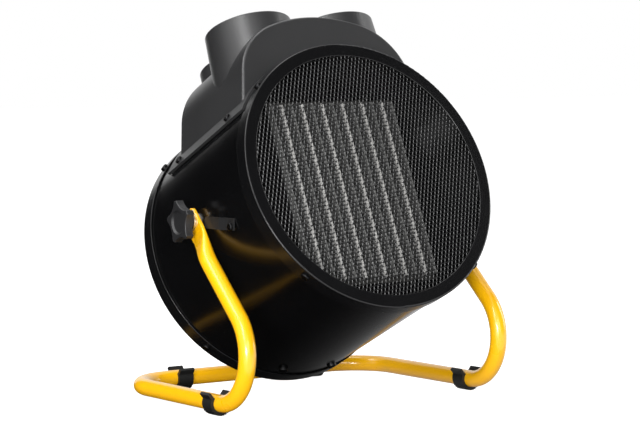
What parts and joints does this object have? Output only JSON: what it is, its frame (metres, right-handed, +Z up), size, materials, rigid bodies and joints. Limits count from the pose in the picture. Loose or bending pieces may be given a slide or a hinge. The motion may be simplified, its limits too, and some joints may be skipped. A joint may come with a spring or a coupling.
{
  "type": "forced air heater",
  "caption": "Round drum fan heater that tilts on a bent tube stand, with a heating block behind its mesh outlet and a control hood on top.",
  "frame": {"origin": "on the floor under the middle of the whole heater, with the drum tilted nose-up 24 degrees as pictured", "axes": "+Z up, +X across the heater along the tilt axis, and the outlet end faces -Y and up"},
  "size_m": [0.2698, 0.2812, 0.323],
  "materials": {
    "yellow_paint": "gloss yellow powder coat",
    "drum_paint": "gloss black enamel",
    "mesh_paint": "satin black enamel",
    "black_rubber": "matt black",
    "hood_plastic": "lightly grained black moulding",
    "knob_plastic": "fine grained black moulding",
    "dial_plastic": "smooth black moulding",
    "zinc_steel": "zinc plated",
    "black_screw": "black zinc",
    "sheet_steel": "galvanised sheet",
    "heater_aluminium": "plain aluminium",
    "motor_steel": "plain steel laminations",
    "motor_paint": "satin black enamel",
    "brass": "turned brass",
    "fan_plastic": "fine grained dark moulding",
    "holder_plastic": "heat resistant black moulding",
    "white_plastic": "natural moulding",
    "red_plastic": "clear red lens"
  },
  "bodies": {
    "stand": {"stand_tube": "yellow_paint", "front_foot_left": "black_rubber", "front_foot_right": "black_rubber", "rear_foot_left": "black_rubber", "rear_foot_right": "black_rubber"},
    "heater": {"drum_shell": "drum_paint", "front_ring": "drum_paint", "rear_ring": "drum_paint", "front_mesh": "mesh_paint", "rear_mesh": "mesh_paint", "front_ring_screws": "black_screw", "rear_ring_screws": "black_screw", "heating_bars": "heater_aluminium", "fin_dividers": "heater_aluminium", "heating_fins": "heater_aluminium", "block_holder_upper": "holder_plastic", "block_holder_lower": "holder_plastic", "bar_terminals": "brass", "air_baffle": "drum_paint", "block_screws": "zinc_steel", "motor_case": "motor_paint", "motor_stator": "motor_steel", "motor_bushes": "brass", "motor_bridge": "sheet_steel", "motor_screws": "zinc_steel", "bridge_screws": "black_screw", "fan_shroud": "sheet_steel", "shroud_screws": "black_screw", "control_hood": "hood_plastic", "hood_screws": "black_screw", "cable_gland": "dial_plastic", "gland_nut": "dial_plastic", "thermostat_body": "white_plastic", "power_switch_body": "white_plastic", "thermal_cutout": "dial_plastic", "pilot_lamp": "red_plastic", "terminal_block": "white_plastic", "tilt_stop_left": "drum_paint", "tilt_stop_right": "drum_paint", "pivot_boss_left": "zinc_steel", "pivot_boss_right": "zinc_steel", "pivot_nut_left": "zinc_steel", "pivot_nut_right": "zinc_steel", "tilt_stop_screw_left": "black_screw", "tilt_stop_screw_right": "black_screw"},
    "fan": {"fan_wheel": "fan_plastic", "motor_shaft": "zinc_steel", "fan_nut": "zinc_steel", "motor_rotor": "motor_steel"},
    "thermostat_dial": {"thermostat_knob": "dial_plastic", "thermostat_shaft": "white_plastic"},
    "power_dial": {"power_switch_knob": "dial_plastic", "power_switch_shaft": "white_plastic"},
    "reset": {"reset_button": "red_plastic"},
    "washer_left": {"clamp_washer_left": "zinc_steel"},
    "washer_right": {"clamp_washer_right": "zinc_steel"},
    "clamp_left": {"clamp_knob_left": "knob_plastic", "clamp_stud_left": "zinc_steel"},
    "clamp_right": {"clamp_knob_right": "knob_plastic", "clamp_stud_right": "zinc_steel"}
  },
  "joints": [
    {"name": "drum_tilt", "type": "hinge", "parent": "stand", "child": "heater", "pos_m": [0, -0.0098, 0.1524], "axis": [1, 0, 0], "range_deg": [-56, 25]},
    {"name": "fan_spin", "type": "hinge", "parent": "heater", "child": "fan", "pos_m": [0, 0.00847, 0.14427], "axis": [0, -0.9135, 0.4067], "continuous": true},
    {"name": "thermostat_turn", "type": "hinge", "parent": "heater", "child": "thermostat_dial", "pos_m": [-0.041, 0.01644, 0.28411], "axis": [0, 0.4067, 0.9135], "range_deg": [-135, 135]},
    {"name": "power_turn", "type": "hinge", "parent": "heater", "child": "power_dial", "pos_m": [0.041, 0.01644, 0.28411], "axis": [0, 0.4067, 0.9135], "range_deg": [-135, 0]},
    {"name": "reset_press", "type": "slide", "parent": "heater", "child": "reset", "axis": [0, -0.4067, -0.9135], "range_m": [0, 0.003], "stiffness_N_per_m": 400, "springref_m": -0.003},
    {"name": "clamp_left_travel", "type": "slide", "parent": "heater", "child": "washer_left", "axis": [-1, 0, 0], "range_m": [0, 0.001]},
    {"name": "clamp_left_turn", "type": "hinge", "parent": "washer_left", "child": "clamp_left", "pos_m": [-0.125, -0.0098, 0.1524], "axis": [-1, 0, 0], "range_deg": [-0.1, 360.1]},
    {"name": "clamp_right_travel", "type": "slide", "parent": "heater", "child": "washer_right", "axis": [1, 0, 0], "range_m": [0, 0.001]},
    {"name": "clamp_right_turn", "type": "hinge", "parent": "washer_right", "child": "clamp_right", "pos_m": [0.125, -0.0098, 0.1524], "axis": [1, 0, 0], "range_deg": [-0.1, 360.1]}
  ],
  "couplings": [
    {"joint": "clamp_left_turn", "follows": "clamp_left_travel", "rad_per_m": 6283.2},
    {"joint": "clamp_right_turn", "follows": "clamp_right_travel", "rad_per_m": 6283.2}
  ]
}
